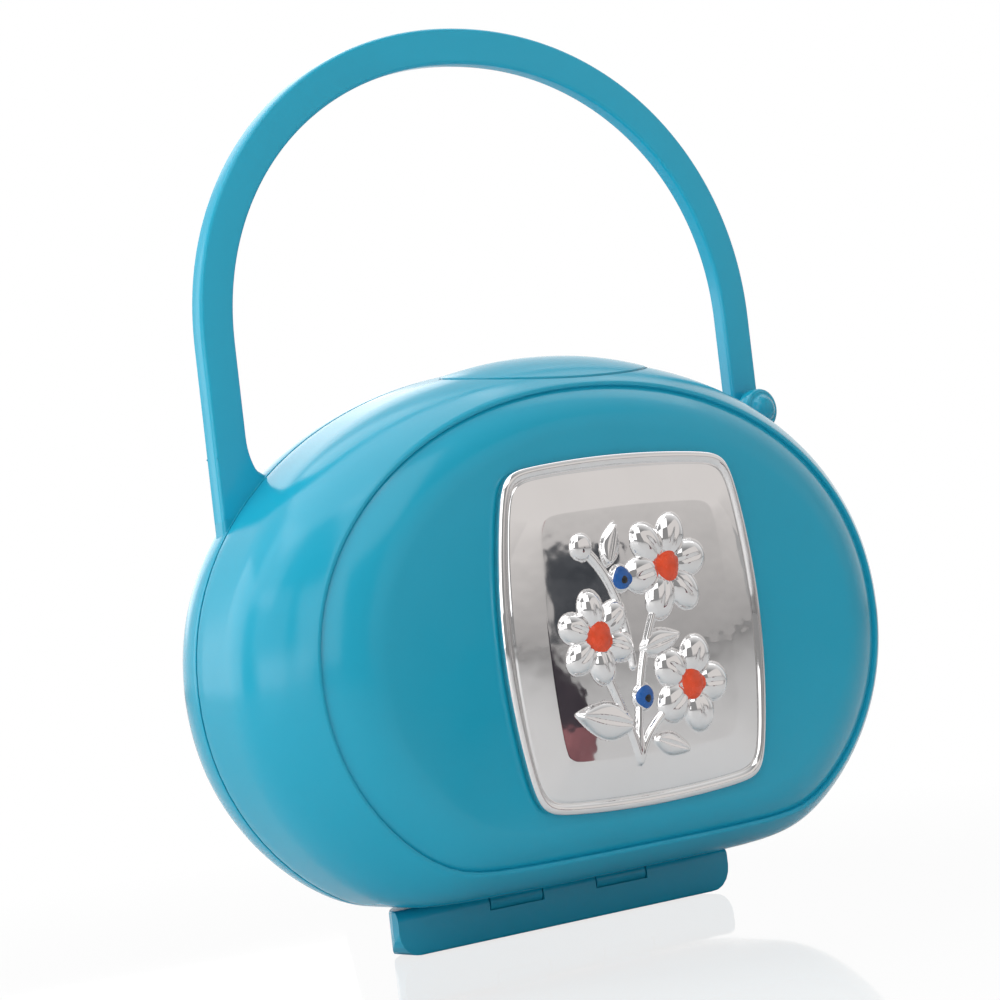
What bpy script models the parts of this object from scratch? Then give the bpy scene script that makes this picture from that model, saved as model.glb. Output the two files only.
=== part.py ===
"""Pacifier box: a clamshell box with a carrying strap and a pressed plaque.

Metres, +Z up. The front faces -Y, the parting plane of the two shells is y = 0, the
box is symmetrical about x = 0, and z = 0 is the underside of the foot.
"""
import bpy
import bmesh
import math
from mathutils import Matrix, Vector

# General
GAP = 0.0003
OVERRUN = 0.004
EDGE_STEPS = 2
WELD = 0.000002
PARTS_NAME = "pacifier_box"
CUTTERS_NAME = "cutters"

# Body outline at the parting plane
BODY_HALF_WIDTH = 0.0586
BODY_HALF_HEIGHT = 0.0418
BODY_FLOOR_Z = 0.0067
BODY_CENTRE_RISE = 0.0342
BODY_CENTRE_Z = BODY_FLOOR_Z + BODY_CENTRE_RISE
FLOOR_CORNER = 0.0030
OUTLINE_POWER = 2.09
OUTLINE_POINTS = 96
FRONT_WALL = 0.0014
REAR_WALL = 0.0028

# Front half: straight flank, rounded shoulder, rim line and crowned face
FRONT_DEPTH = 0.0197
SHOULDER_LENGTH = 0.0125
RIM_SIDE_MARGIN = 0.0067
RIM_TOP_MARGIN = 0.0044
RIM_FLOOR_MARGIN = 0.0041
RIM_HALF_WIDTH = BODY_HALF_WIDTH - RIM_SIDE_MARGIN
RIM_HALF_HEIGHT = BODY_HALF_HEIGHT - RIM_TOP_MARGIN
RIM_FLOOR_Z = BODY_FLOOR_Z + RIM_FLOOR_MARGIN
SHOULDER_STEPS = 8
SHOULDER_POWER = 2.3
LIP_WIDTH = 0.0005
LIP_STEP = 0.0004
CROWN_HEIGHT = 0.0034
CROWN_RUN_SHARE = 0.17
CROWN_STEPS = 4

# Rear half: a dome on the same outline
REAR_DEPTH = 0.0262
REAR_STEPS = 12
REAR_BACK_SHARE = 0.985

# Closing collar of the rear shell, which the cover slides over
COLLAR_REACH = 0.0018
COLLAR_ROOT = 0.0022
COLLAR_WALL = 0.0005
COLLAR_LOW_RISE = 0.0133
COLLAR_PAD_MARGIN = 0.0025

# Foot under the rear half; its front edge holds the hinge
FOOT_HALF_WIDTH = 0.0314
FOOT_FRONT_Y = -0.0018
FOOT_BACK_Y = 0.0122
FOOT_CORNER = 0.0036
FOOT_POINTS = 24
FOOT_EDGE = 0.0004
PEG_RADIUS = 0.0016
PEG_X = 0.0140
PEG_Y = 0.0052
PEG_SIDES = 20

# Hinge: the foot's rounded front edge is one leaf, two knuckles of the cover the other
KNUCKLE_RADIUS = 0.0015
PIN_RADIUS = 0.0006
PIN_CLEARANCE = 0.0002
HINGE_LENGTH = 0.0500
KNUCKLE_COUNT = 5
KNUCKLE_SIDES = 24
KNUCKLE_END_GAP = 0.0005
NECK_THICKNESS = 0.0007
NECK_TRIM = 0.0003
HINGE_Y = FOOT_FRONT_Y + KNUCKLE_RADIUS

# Strap: an arch over two legs that stand inside the body's sides
STRAP_FRONT_Y = 0.0003
STRAP_THICKNESS = 0.0027
STRAP_WIDTH = 0.0054
STRAP_INSET = 0.0100
ARCH_HALF_WIDTH = BODY_HALF_WIDTH - STRAP_INSET
ARCH_BASE_RISE = 0.0232
ARCH_HEIGHT = 0.0429
ARCH_POWER = 2.07
ARCH_STEPS = 32
STRAP_EDGE = 0.0005
ROOT_PIVOT_RISE = 0.0099
ROOT_END_STEPS = 10

# Wedge that roots the strap on the rear shell
WEDGE_REACH = 0.0059
WEDGE_INNER_RISE = 0.0047
WEDGE_SHOULDER_RISE = 0.0085
WEDGE_FILLET_STEPS = 5

# Press stud at the right end
STUD_RISE = 0.0081
POST_RADIUS = 0.0015
SHOULDER_RADIUS = 0.0024
DISC_RADIUS = 0.0033
DISC_BACK_Y = -0.0008
DISC_THICKNESS = 0.0025
DISC_EDGE = 0.0005
DOME_RADIUS = 0.0021
DOME_RISE = 0.0013
DOME_STEPS = 5
HEAD_RADIUS = 0.0025
HEAD_THICKNESS = 0.0009
EYE_RADIUS = 0.0032
EAR_RADIUS = 0.0034
EAR_THICKNESS = 0.0032
EAR_REACH = 0.0056
EAR_ROOT_RISE = 0.0007
ROUND_SIDES = 28
EYE_STEPS = 8

# Latch pad on top of the front half
PAD_HALF_WIDTH = 0.0180
PAD_FRONT_MARGIN = 0.0013
PAD_BACK_MARGIN = 0.0016
PAD_HALF_DEPTH = (FRONT_DEPTH - PAD_FRONT_MARGIN - PAD_BACK_MARGIN) / 2.0
PAD_Y = -PAD_BACK_MARGIN - PAD_HALF_DEPTH
PAD_EDGE_RISE = 0.0002
PAD_DOME = 0.0005
PAD_DOME_STEPS = 5
PAD_TRAVEL = 0.0012
PAD_FLANGE = 0.0013
PAD_FLANGE_THICKNESS = 0.0010
PAD_SIDES = 48
WINDOW_DEPTH = 0.0057
HOOK_HALF_WIDTH = 0.0050
HOOK_THICKNESS = 0.0013
HOOK_TRIM = 0.0003
HOOK_TIP_Y = 0.0048
BARB_DEPTH = 0.0011
BARB_RISE = 0.0008
CATCH_DEPTH = 0.0012
CATCH_DROP = 0.0012
CATCH_CLEARANCE = 0.0005

# Plaque on the front face: a square with bulged sides and round corners
PLAQUE_HALF_WIDTH = 0.0239
PLAQUE_HALF_HEIGHT = 0.0250
PLAQUE_LIFT = 0.0016
PLAQUE_POWER = 16.0
PLAQUE_SIDE_BULGE_SHARE = 0.13
PLAQUE_TOP_BULGE_SHARE = 0.05
PLAQUE_SIDE_POINTS = 24
PLAQUE_RIM_HEIGHT = 0.0010
PLAQUE_BEAD = 0.0015
PLAQUE_BEAD_RISE = 0.0003
PLAQUE_GROOVE = 0.00015
PLAQUE_BEVEL = 0.0040
PLAQUE_CROWN = 0.0008
FOIL = 0.0003

# Colours
TURQUOISE = (0.046, 0.365, 0.515)
TURQUOISE_DEEP = (0.018, 0.160, 0.260)
SILVER = (0.86, 0.85, 0.84)
STEEL = (0.60, 0.61, 0.62)
RESIN = (0.80, 0.77, 0.68)


def clear_scene():
    for obj in list(bpy.data.objects):
        bpy.data.objects.remove(obj, do_unlink=True)


def new_collection(name):
    collection = bpy.data.collections.new(name)
    bpy.context.scene.collection.children.link(collection)
    return collection


def make_material(name, colour, roughness, metallic=0.0):
    material = bpy.data.materials.new(name)
    material.use_nodes = True
    shader = material.node_tree.nodes["Principled BSDF"]
    shader.inputs["Base Color"].default_value = (*colour, 1.0)
    shader.inputs["Roughness"].default_value = roughness
    shader.inputs["Metallic"].default_value = metallic
    return material


def finish_mesh(name, bm, collection, material=None, angle_deg=40.0):
    """Turn a bmesh into an object with outward faces and smooth shading."""
    bmesh.ops.recalc_face_normals(bm, faces=bm.faces)
    mesh = bpy.data.meshes.new(name)
    bm.to_mesh(mesh)
    bm.free()
    mesh.shade_smooth()
    mesh.set_sharp_from_angle(angle=math.radians(angle_deg))
    obj = bpy.data.objects.new(name, mesh)
    collection.objects.link(obj)
    if material is not None:
        mesh.materials.append(material)
    if collection.name == CUTTERS_NAME:
        obj.hide_render = True
        obj.display_type = "WIRE"
    return obj


def superellipse(half_x, half_z, power, count):
    """Points of a superellipse about the origin, counter-clockwise from +X."""
    points = []
    for i in range(count):
        angle = math.tau * i / count
        cos_a, sin_a = math.cos(angle), math.sin(angle)
        x = half_x * math.copysign(abs(cos_a) ** (2.0 / power), cos_a)
        z = half_z * math.copysign(abs(sin_a) ** (2.0 / power), sin_a)
        points.append((x, z))
    return points


def body_outline(half_width, half_height, floor_z):
    """The oval section of the body, cut level at its floor with a soft corner."""
    points = []
    for x, z in superellipse(half_width, half_height, OUTLINE_POWER, OUTLINE_POINTS):
        above = z + BODY_CENTRE_Z - floor_z
        points.append((x, floor_z + (above + math.hypot(above, FLOOR_CORNER)) / 2.0))
    return points


def section(y, half_width, half_height, floor_z):
    return [(x, y, z) for x, z in body_outline(half_width, half_height, floor_z)]


def loft(rings):
    """A closed solid through rings of equal length, with both end rings filled."""
    bm = bmesh.new()
    loops = [[bm.verts.new(point) for point in ring] for ring in rings]
    count = len(loops[0])
    for first, second in zip(loops, loops[1:]):
        for i in range(count):
            j = (i + 1) % count
            bm.faces.new((first[i], first[j], second[j], second[i]))
    bm.faces.new(loops[0])
    bm.faces.new(loops[-1])
    bmesh.ops.triangulate(bm, faces=[face for face in bm.faces if len(face.verts) == 4])
    return bm


def front_sections(inset):
    """Sections of the front half from the parting plane to the middle of its face.

    The outer surface has no inset and the inner one is inset by the wall.
    """
    rings = []
    flank = FRONT_DEPTH - SHOULDER_LENGTH
    start_y = -GAP / 2.0
    depth = FRONT_DEPTH - inset
    half = (BODY_HALF_WIDTH - inset, BODY_HALF_HEIGHT - inset, BODY_FLOOR_Z + inset)
    rim = (RIM_HALF_WIDTH - inset, RIM_HALF_HEIGHT - inset, RIM_FLOOR_Z + inset)
    rings.append(section(start_y, *half))
    for step in range(SHOULDER_STEPS + 1):
        share = step / SHOULDER_STEPS
        y = -flank - (depth - flank) * share
        turn = share ** SHOULDER_POWER
        rings.append(section(y, *[a + (b - a) * turn for a, b in zip(half, rim)]))
    return rings


def face_sections(inset, rim_y, with_rim_line):
    """Sections of the crowned face, from the rim inwards."""
    rings = []
    width, height, floor_z = RIM_HALF_WIDTH - inset, RIM_HALF_HEIGHT - inset, RIM_FLOOR_Z + inset
    y = rim_y
    if with_rim_line:
        lip = LIP_WIDTH
        rings.append(section(y, width - lip, height - lip, floor_z + lip))
        lip = LIP_WIDTH + LIP_STEP / 2.0
        y = rim_y + LIP_STEP
        rings.append(section(y, width - lip, height - lip, floor_z + lip))
        width, height, floor_z = width - lip, height - lip, floor_z + lip
    for step in range(1, CROWN_STEPS + 1):
        share = step / CROWN_STEPS
        scale = 1.0 - CROWN_RUN_SHARE * share
        rise = CROWN_HEIGHT * (1.0 - (1.0 - share) ** 2)
        level = BODY_CENTRE_Z - (BODY_CENTRE_Z - floor_z) * scale
        rings.append(section(y - rise, width * scale, height * scale, level))
    return rings


def face_front_y():
    """The plane of the flat middle of the front face."""
    return -FRONT_DEPTH + LIP_STEP - CROWN_HEIGHT


def front_shell_solid():
    outer = front_sections(0.0)
    outer += face_sections(0.0, -FRONT_DEPTH, True)
    inner = front_sections(FRONT_WALL)
    inner += face_sections(FRONT_WALL, -FRONT_DEPTH + FRONT_WALL, False)
    return loft(outer[::-1] + inner)


def rear_sections(inset):
    """Sections of the dome, from the parting plane to its back."""
    rings = []
    depth = REAR_DEPTH - inset
    for step in range(REAR_STEPS):
        angle = math.radians(90.0) * REAR_BACK_SHARE * step / (REAR_STEPS - 1)
        scale = math.cos(angle)
        y = GAP / 2.0 + depth * math.sin(angle)
        half_width = (BODY_HALF_WIDTH - inset) * scale
        half_height = (BODY_HALF_HEIGHT - inset) * scale
        rings.append(section(y, half_width, half_height, BODY_FLOOR_Z + inset))
    return rings


def collar_sections():
    """Sections of the closing collar, out to its front edge and back to its root."""
    rings = []
    lip, inner = FRONT_WALL + GAP, REAR_WALL + COLLAR_WALL
    steps = [(lip, GAP / 2.0), (lip, -COLLAR_REACH), (inner, -COLLAR_REACH), (inner, COLLAR_ROOT)]
    for inset, y in steps:
        size = (BODY_HALF_WIDTH - inset, BODY_HALF_HEIGHT - inset, BODY_FLOOR_Z + inset)
        rings.append(section(y, *size))
    return rings


def rear_shell_solid():
    return loft(rear_sections(0.0)[::-1] + collar_sections() + rear_sections(REAR_WALL)[1:])


def cavity_solid(inset):
    """The space inside both shells at this distance from their outer surface."""
    front = front_sections(inset) + face_sections(inset, -FRONT_DEPTH + inset, False)
    return loft(front[::-1] + rear_sections(inset)[1:])


def box_solid(low, high):
    bm = bmesh.new()
    bmesh.ops.create_cube(bm, size=1.0)
    size = [b - a for a, b in zip(low, high)]
    middle = [(a + b) / 2.0 for a, b in zip(low, high)]
    bmesh.ops.scale(bm, vec=size, verts=bm.verts)
    bmesh.ops.translate(bm, vec=middle, verts=bm.verts)
    return bm


def rod_solid(radius, start, end, sides=KNUCKLE_SIDES):
    """A closed cylinder between two points."""
    bm = bmesh.new()
    start, end = Vector(start), Vector(end)
    length = (end - start).length
    bmesh.ops.create_cone(bm, cap_ends=True, segments=sides, radius1=radius, radius2=radius,
                          depth=length)
    turn = (end - start).to_track_quat("Z", "Y").to_matrix().to_4x4()
    bmesh.ops.transform(bm, matrix=Matrix.Translation((start + end) / 2.0) @ turn, verts=bm.verts)
    return bm


def outline_plate(name, outline, low, high, facing, edge=0.0):
    """A plate over a closed outline, with its edges rounded by this radius.

    It reaches from low to high along the axis that it faces. The outline is (y, z) for a
    plate that faces X, (x, z) for one that faces Y and (x, y) for one that faces Z.
    """
    curve = bpy.data.curves.new(name, "CURVE")
    curve.dimensions = "2D"
    curve.fill_mode = "BOTH"
    curve.extrude = (high - low) / 2.0 - edge
    curve.bevel_depth = edge
    curve.bevel_resolution = EDGE_STEPS
    curve.offset = -edge
    spline = curve.splines.new("POLY")
    spline.points.add(len(outline) - 1)
    for point, (across, along) in zip(spline.points, outline):
        point.co = (across, along, 0.0, 1.0)
    spline.use_cyclic_u = True
    flat = bpy.data.objects.new(name, curve)
    bpy.context.scene.collection.objects.link(flat)
    evaluated = flat.evaluated_get(bpy.context.evaluated_depsgraph_get())
    mesh = bpy.data.meshes.new_from_object(evaluated)
    bpy.data.objects.remove(flat)
    turns = {
        "X": Matrix(((0, 0, 1), (1, 0, 0), (0, 1, 0))),
        "Y": Matrix(((1, 0, 0), (0, 0, -1), (0, 1, 0))),
        "Z": Matrix.Identity(3),
    }
    axis = Vector([float(facing == letter) for letter in "XYZ"])
    mesh.transform(Matrix.Translation(axis * (low + high) / 2.0) @ turns[facing].to_4x4())
    bm = bmesh.new()
    bm.from_mesh(mesh)
    bpy.data.meshes.remove(mesh)
    bmesh.ops.remove_doubles(bm, verts=bm.verts, dist=WELD)
    return bm


def combine(target, tool, operation):
    modifier = target.modifiers.new(operation.lower(), "BOOLEAN")
    modifier.operation = operation
    modifier.object = tool
    modifier.solver = "EXACT"


def tool(name, bm):
    return finish_mesh(name, bm, cutters)


def body_side_rise(x):
    """Half the height of the body's full oval at the parting plane, at this place."""
    share = abs(x) / BODY_HALF_WIDTH
    return BODY_HALF_HEIGHT * (1.0 - share ** OUTLINE_POWER) ** (1.0 / OUTLINE_POWER)


def body_side_z(x):
    return BODY_CENTRE_Z + body_side_rise(x)


def body_under_z(x):
    """Height of the body's level underside, at this place."""
    above = BODY_CENTRE_Z - body_side_rise(x) - BODY_FLOOR_Z
    return BODY_FLOOR_Z + (above + math.hypot(above, FLOOR_CORNER)) / 2.0


def leg_z(rise):
    """A height above the body's outline under the strap's legs."""
    return body_side_z(ARCH_HALF_WIDTH) + rise


def knuckle_span(index):
    pitch = HINGE_LENGTH / KNUCKLE_COUNT
    start = -HINGE_LENGTH / 2.0 + pitch * index
    return start + KNUCKLE_END_GAP / 2.0, start + pitch - KNUCKLE_END_GAP / 2.0


def hinge_z():
    return foot_top_z() - KNUCKLE_RADIUS


def hinge_rod(radius, low, high):
    """A rod on the hinge's axis."""
    return rod_solid(radius, (low, HINGE_Y, hinge_z()), (high, HINGE_Y, hinge_z()))


def cover_knuckles():
    """The knuckles of the cover lie between stretches of the foot's front edge."""
    return [knuckle_span(index) for index in range(1, KNUCKLE_COUNT, 2)]


def add_cover_knuckles(cover):
    for index, (low, high) in enumerate(cover_knuckles()):
        combine(cover, tool(f"knuckle_{index}", hinge_rod(KNUCKLE_RADIUS, low, high)), "UNION")
        neck_top = body_under_z(max(abs(low), abs(high))) + FRONT_WALL / 2.0
        neck = box_solid((low + NECK_TRIM, HINGE_Y - NECK_THICKNESS, hinge_z()),
                         (high - NECK_TRIM, HINGE_Y, neck_top))
        combine(cover, tool(f"knuckle_neck_{index}", neck), "UNION")


def cut_knuckle_slots(foot):
    for index, (low, high) in enumerate(cover_knuckles()):
        slot = hinge_rod(KNUCKLE_RADIUS + GAP, low - GAP, high + GAP)
        combine(foot, tool(f"knuckle_slot_{index}", slot), "DIFFERENCE")


def bore_hinge(target, label, low, high):
    bore = hinge_rod(PIN_RADIUS + PIN_CLEARANCE, low, high)
    combine(target, tool(f"{label}_bore", bore), "DIFFERENCE")


def body_top_z(inset=0.0):
    return BODY_CENTRE_Z + BODY_HALF_HEIGHT - inset


def pad_outline(grow):
    """The pad's oval in plan, as (x, y) points."""
    oval = superellipse(PAD_HALF_WIDTH + grow, PAD_HALF_DEPTH + grow, 2.0, PAD_SIDES)
    return [(x, y + PAD_Y) for x, y in oval]


def shoulder_top_z(x, y):
    """Height of the front half's outer surface over a place in plan."""
    flank = FRONT_DEPTH - SHOULDER_LENGTH
    turn = max((-y - flank) / SHOULDER_LENGTH, 0.0) ** SHOULDER_POWER
    half_width = BODY_HALF_WIDTH - (BODY_HALF_WIDTH - RIM_HALF_WIDTH) * turn
    half_height = BODY_HALF_HEIGHT - (BODY_HALF_HEIGHT - RIM_HALF_HEIGHT) * turn
    share = abs(x) / half_width
    return BODY_CENTRE_Z + half_height * (1.0 - share ** OUTLINE_POWER) ** (1.0 / OUTLINE_POWER)


def window_low_z():
    return body_top_z() - WINDOW_DEPTH


def make_front_cover(material):
    cover = finish_mesh("front_cover", front_shell_solid(), parts, material)
    add_cover_knuckles(cover)
    reach = HINGE_LENGTH / 2.0
    bore_hinge(cover, "cover", -reach, reach)
    top = body_top_z() + OVERRUN
    window = outline_plate("window_outline", pad_outline(GAP), window_low_z(), top, "Z")
    combine(cover, tool("pad_window", window), "DIFFERENCE")
    return cover


def arc_points(centre, radius, start_deg, end_deg, steps):
    points = []
    for step in range(steps + 1):
        angle = math.radians(start_deg + (end_deg - start_deg) * step / steps)
        points.append((centre[0] + radius * math.cos(angle), centre[1] + radius * math.sin(angle)))
    return points


def strap_back_y():
    return STRAP_FRONT_Y + STRAP_THICKNESS


def ear_back_y():
    return strap_back_y() + GAP + EAR_THICKNESS


def make_wedge():
    """The strap's root, a wedge that stands on the rear shell's outer surface."""
    half = STRAP_WIDTH / 2.0
    left, right = -ARCH_HALF_WIDTH - half, -ARCH_HALF_WIDTH + half
    inner_x = -ARCH_HALF_WIDTH + WEDGE_REACH
    pivot_z, shoulder_z, inner_z = (leg_z(ROOT_PIVOT_RISE), leg_z(WEDGE_SHOULDER_RISE),
                                    leg_z(WEDGE_INNER_RISE))
    socket = half + GAP
    dip_deg = math.degrees(math.asin((pivot_z - shoulder_z) / socket))
    pivot = (-ARCH_HALF_WIDTH, pivot_z)
    socket_arc = arc_points(pivot, socket, 180.0 + dip_deg, 360.0 - dip_deg, ROOT_END_STEPS)
    outline = [(left, shoulder_z)] + socket_arc[1:-1] + [(right, shoulder_z)]
    for step in range(1, WEDGE_FILLET_STEPS + 1):
        angle = math.radians(90.0) * step / WEDGE_FILLET_STEPS
        x = right + (inner_x - right) * (1.0 - math.cos(angle))
        outline.append((x, shoulder_z - (shoulder_z - inner_z) * math.sin(angle)))
    outline.append((inner_x, inner_z - STRAP_WIDTH))
    outline.append((left, pivot_z - 3.0 * STRAP_WIDTH))
    return outline_plate("wedge_outline", outline, STRAP_FRONT_Y, strap_back_y(), "Y", STRAP_EDGE)


def make_ear():
    """The ear that carries the press stud, a round-ended tab off the rear shell."""
    tip = Vector((ARCH_HALF_WIDTH, leg_z(STUD_RISE)))
    root = Vector((ARCH_HALF_WIDTH - EAR_REACH, leg_z(EAR_ROOT_RISE)))
    run = tip - root
    heading = math.degrees(math.atan2(run.y, run.x))
    outline = arc_points(tip, EAR_RADIUS, heading - 90.0, heading + 90.0, ROOT_END_STEPS)
    outline += arc_points(root, EAR_RADIUS, heading + 90.0, heading + 270.0, ROOT_END_STEPS)
    front = strap_back_y() + GAP
    return outline_plate("ear_outline", outline, front, ear_back_y(), "Y", STRAP_EDGE)


def trim_collar(rear):
    """The collar is left out at the hinge and at the latch."""
    reach = BODY_HALF_WIDTH + OVERRUN
    low_top = BODY_FLOOR_Z + COLLAR_LOW_RISE
    low = box_solid((-reach, -OVERRUN, -OVERRUN), (reach, 0.0, low_top))
    combine(rear, tool("collar_low_cut", low), "DIFFERENCE")
    half = PAD_HALF_WIDTH + COLLAR_PAD_MARGIN
    top = box_solid((-half, -OVERRUN, BODY_CENTRE_Z), (half, 0.0, body_top_z() + OVERRUN))
    combine(rear, tool("collar_top_cut", top), "DIFFERENCE")


def catch_low_z():
    """The underside of the catch rib, below the rear shell's inner top over the hook's tip."""
    share = HOOK_TIP_Y / (REAR_DEPTH - REAR_WALL)
    inner_top = BODY_CENTRE_Z + (BODY_HALF_HEIGHT - REAR_WALL) * math.sqrt(1.0 - share ** 2)
    return inner_top - CATCH_DROP


def barb_top_z():
    return catch_low_z() - CATCH_CLEARANCE


def make_catch():
    """The rib inside the rear shell's top that the hook's barb lies behind."""
    back = HOOK_TIP_Y - BARB_DEPTH - GAP
    top = body_top_z(REAR_WALL / 2.0)
    half = HOOK_HALF_WIDTH + GAP
    return box_solid((-half, back - CATCH_DEPTH, catch_low_z()), (half, back, top))


def make_rear_shell(material):
    rear = finish_mesh("rear_shell", rear_shell_solid(), parts, material)
    trim_collar(rear)
    cavity = tool("rear_cavity", cavity_solid(REAR_WALL / 2.0))
    wedge = tool("strap_root", make_wedge())
    combine(wedge, cavity, "DIFFERENCE")
    combine(rear, wedge, "UNION")
    ear = tool("stud_ear", make_ear())
    combine(ear, cavity, "DIFFERENCE")
    stud_z = leg_z(STUD_RISE)
    bore = rod_solid(POST_RADIUS + GAP, (ARCH_HALF_WIDTH, 0.0, stud_z),
                     (ARCH_HALF_WIDTH, ear_back_y() + OVERRUN, stud_z), ROUND_SIDES)
    combine(ear, tool("stud_bore", bore), "DIFFERENCE")
    combine(rear, ear, "UNION")
    combine(rear, tool("catch_rib", make_catch()), "UNION")
    for side in (-1.0, 1.0):
        x = side * PEG_X
        bm = rod_solid(PEG_RADIUS + GAP, (x, PEG_Y, 0.0),
                       (x, PEG_Y, body_under_z(PEG_X) + REAR_WALL + OVERRUN), PEG_SIDES)
        combine(rear, tool(f"peg_hole_{int(side)}", bm), "DIFFERENCE")
    return rear


def foot_top_z():
    return body_under_z(0.0) - GAP


def foot_outline():
    """The foot in plan: half an ellipse, carried on past its straight front edge."""
    points = []
    depth = FOOT_BACK_Y - FOOT_FRONT_Y
    for step in range(FOOT_POINTS + 1):
        angle = math.pi * step / FOOT_POINTS
        points.append((FOOT_HALF_WIDTH * math.cos(angle), FOOT_FRONT_Y + depth * math.sin(angle)))
    points.append((-FOOT_HALF_WIDTH, FOOT_FRONT_Y - OVERRUN))
    points.append((FOOT_HALF_WIDTH, FOOT_FRONT_Y - OVERRUN))
    return points


def foot_corner_mask():
    """The foot seen from the front: a bar with rounded lower corners."""
    top = foot_top_z() + OVERRUN
    half = FOOT_HALF_WIDTH
    inner = half - FOOT_CORNER
    points = [(half, top), (-half, top)]
    points += arc_points((-inner, FOOT_CORNER), FOOT_CORNER, 180.0, 270.0, ROOT_END_STEPS // 2)
    points += arc_points((inner, FOOT_CORNER), FOOT_CORNER, 270.0, 360.0, ROOT_END_STEPS // 2)
    return points


def foot_front_mask():
    """The foot seen from its end: its front edge is round about the hinge's axis."""
    back = FOOT_BACK_Y + OVERRUN
    low = (FOOT_FRONT_Y + FOOT_EDGE, FOOT_EDGE)
    points = arc_points((HINGE_Y, hinge_z()), KNUCKLE_RADIUS, 90.0, 180.0, ROOT_END_STEPS)
    points += arc_points(low, FOOT_EDGE, 180.0, 270.0, EDGE_STEPS)
    points += [(back, 0.0), (back, foot_top_z())]
    return points


def make_foot(material):
    top = foot_top_z()
    plinth = outline_plate("foot_outline", foot_outline(), 0.0, top, "Z", FOOT_EDGE)
    foot = finish_mesh("foot_base", plinth, parts, material)
    front, back = FOOT_FRONT_Y - 2.0 * OVERRUN, FOOT_BACK_Y + OVERRUN
    corners = outline_plate("corner_outline", foot_corner_mask(), front, back, "Y")
    combine(foot, tool("foot_corners", corners), "INTERSECT")
    reach = FOOT_HALF_WIDTH + OVERRUN
    edge = outline_plate("front_outline", foot_front_mask(), -reach, reach, "X")
    combine(foot, tool("foot_front", edge), "INTERSECT")
    cut_knuckle_slots(foot)
    bore_hinge(foot, "foot", -HINGE_LENGTH / 2.0 - GAP, reach)
    for side in (-1.0, 1.0):
        x = side * PEG_X
        peg_top = body_under_z(PEG_X) + REAR_WALL
        bm = rod_solid(PEG_RADIUS, (x, PEG_Y, top / 2.0), (x, PEG_Y, peg_top), PEG_SIDES)
        combine(foot, tool(f"foot_peg_{int(side)}", bm), "UNION")
    return foot


def make_hinge_pin(material):
    half = HINGE_LENGTH / 2.0
    return finish_mesh("hinge_pin", hinge_rod(PIN_RADIUS, -half, half), parts, material)


def arch_centre(angle):
    """A point of the strap's middle line on the arch, at this angle from +X."""
    cos_a, sin_a = math.cos(angle), math.sin(angle)
    x = ARCH_HALF_WIDTH * math.copysign(abs(cos_a) ** (2.0 / ARCH_POWER), cos_a)
    z = leg_z(ARCH_BASE_RISE) + ARCH_HEIGHT * abs(sin_a) ** (2.0 / ARCH_POWER)
    return Vector((x, z))


def arch_normal(angle):
    """The outward normal of the arch's middle line."""
    step = math.radians(1.0)
    run = arch_centre(min(angle + step, math.pi)) - arch_centre(max(angle - step, 0.0))
    return Vector((run.y, -run.x)).normalized()


def strap_fork():
    """The strap's right end, a round eye that is open below to slip over the post."""
    stud = (ARCH_HALF_WIDTH, leg_z(STUD_RISE))
    hole = POST_RADIUS + GAP
    neck_deg = math.degrees(math.acos(STRAP_WIDTH / 2.0 / EYE_RADIUS))
    mouth_deg = math.degrees(math.asin(hole / EYE_RADIUS))
    points = arc_points(stud, EYE_RADIUS, 180.0 - neck_deg, 270.0 - mouth_deg, EYE_STEPS)
    points += arc_points(stud, hole, 180.0, 0.0, EYE_STEPS)
    points += arc_points(stud, EYE_RADIUS, mouth_deg - 90.0, neck_deg, EYE_STEPS)
    return points


def strap_outline():
    """The strap seen from the front, from the right leg over the arch to the root."""
    half = STRAP_WIDTH / 2.0
    angles = [math.pi * step / ARCH_STEPS for step in range(ARCH_STEPS + 1)]
    outer, inner = [], []
    for angle in angles:
        centre, normal = arch_centre(angle), arch_normal(angle)
        outer.append(tuple(centre + normal * half))
        inner.append(tuple(centre - normal * half))
    pivot = (-ARCH_HALF_WIDTH, leg_z(ROOT_PIVOT_RISE))
    root = arc_points(pivot, half, 180.0, 360.0, ROOT_END_STEPS)
    return strap_fork() + outer + root + inner[::-1]


def make_strap(material):
    pivot = Vector((-ARCH_HALF_WIDTH, 0.0, leg_z(ROOT_PIVOT_RISE)))
    plate = outline_plate("arch_outline", strap_outline(), STRAP_FRONT_Y, strap_back_y(), "Y",
                          STRAP_EDGE)
    strap = finish_mesh("handle_strap", plate, parts, material)
    strap.data.transform(Matrix.Translation(-pivot))
    strap.location = pivot
    return strap


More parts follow.
